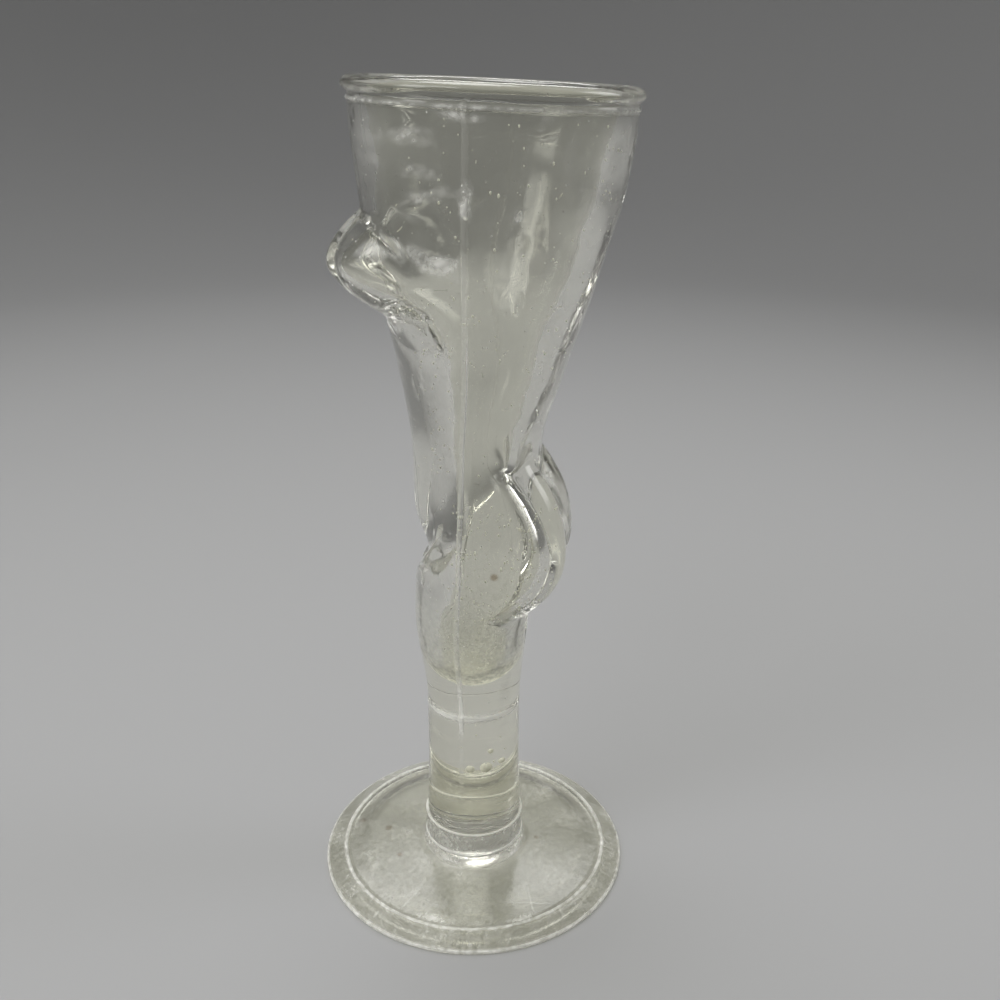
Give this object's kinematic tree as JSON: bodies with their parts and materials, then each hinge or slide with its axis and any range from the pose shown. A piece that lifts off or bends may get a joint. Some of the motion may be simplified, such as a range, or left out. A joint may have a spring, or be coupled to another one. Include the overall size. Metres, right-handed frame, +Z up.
{
  "type": "figural shot glass",
  "caption": "Clear pressed-glass shot glass: a torso-shaped drinking bowl with a beaded rim, on a solid round stem and a wide round foot with a sloping edge.",
  "frame": {"origin": "centre of the foot's underside, on the surface that the glass stands on", "axes": "+Z up along the stem, the figure faces -Y, its left side is +X"},
  "size_m": [0.0516, 0.0516, 0.1272],
  "materials": {
    "bowl_glass": "clear glossy glass with a faint yellow-green tint, shallow waves and seeds",
    "stem_glass": "clear glossy solid glass with a few bubbles",
    "foot_glass": "clear pressed glass, slightly hazy and worn on its upper face and underside"
  },
  "bodies": {
    "root": {"bowl": "bowl_glass", "stem": "stem_glass", "foot": "foot_glass"}
  },
  "joints": []
}
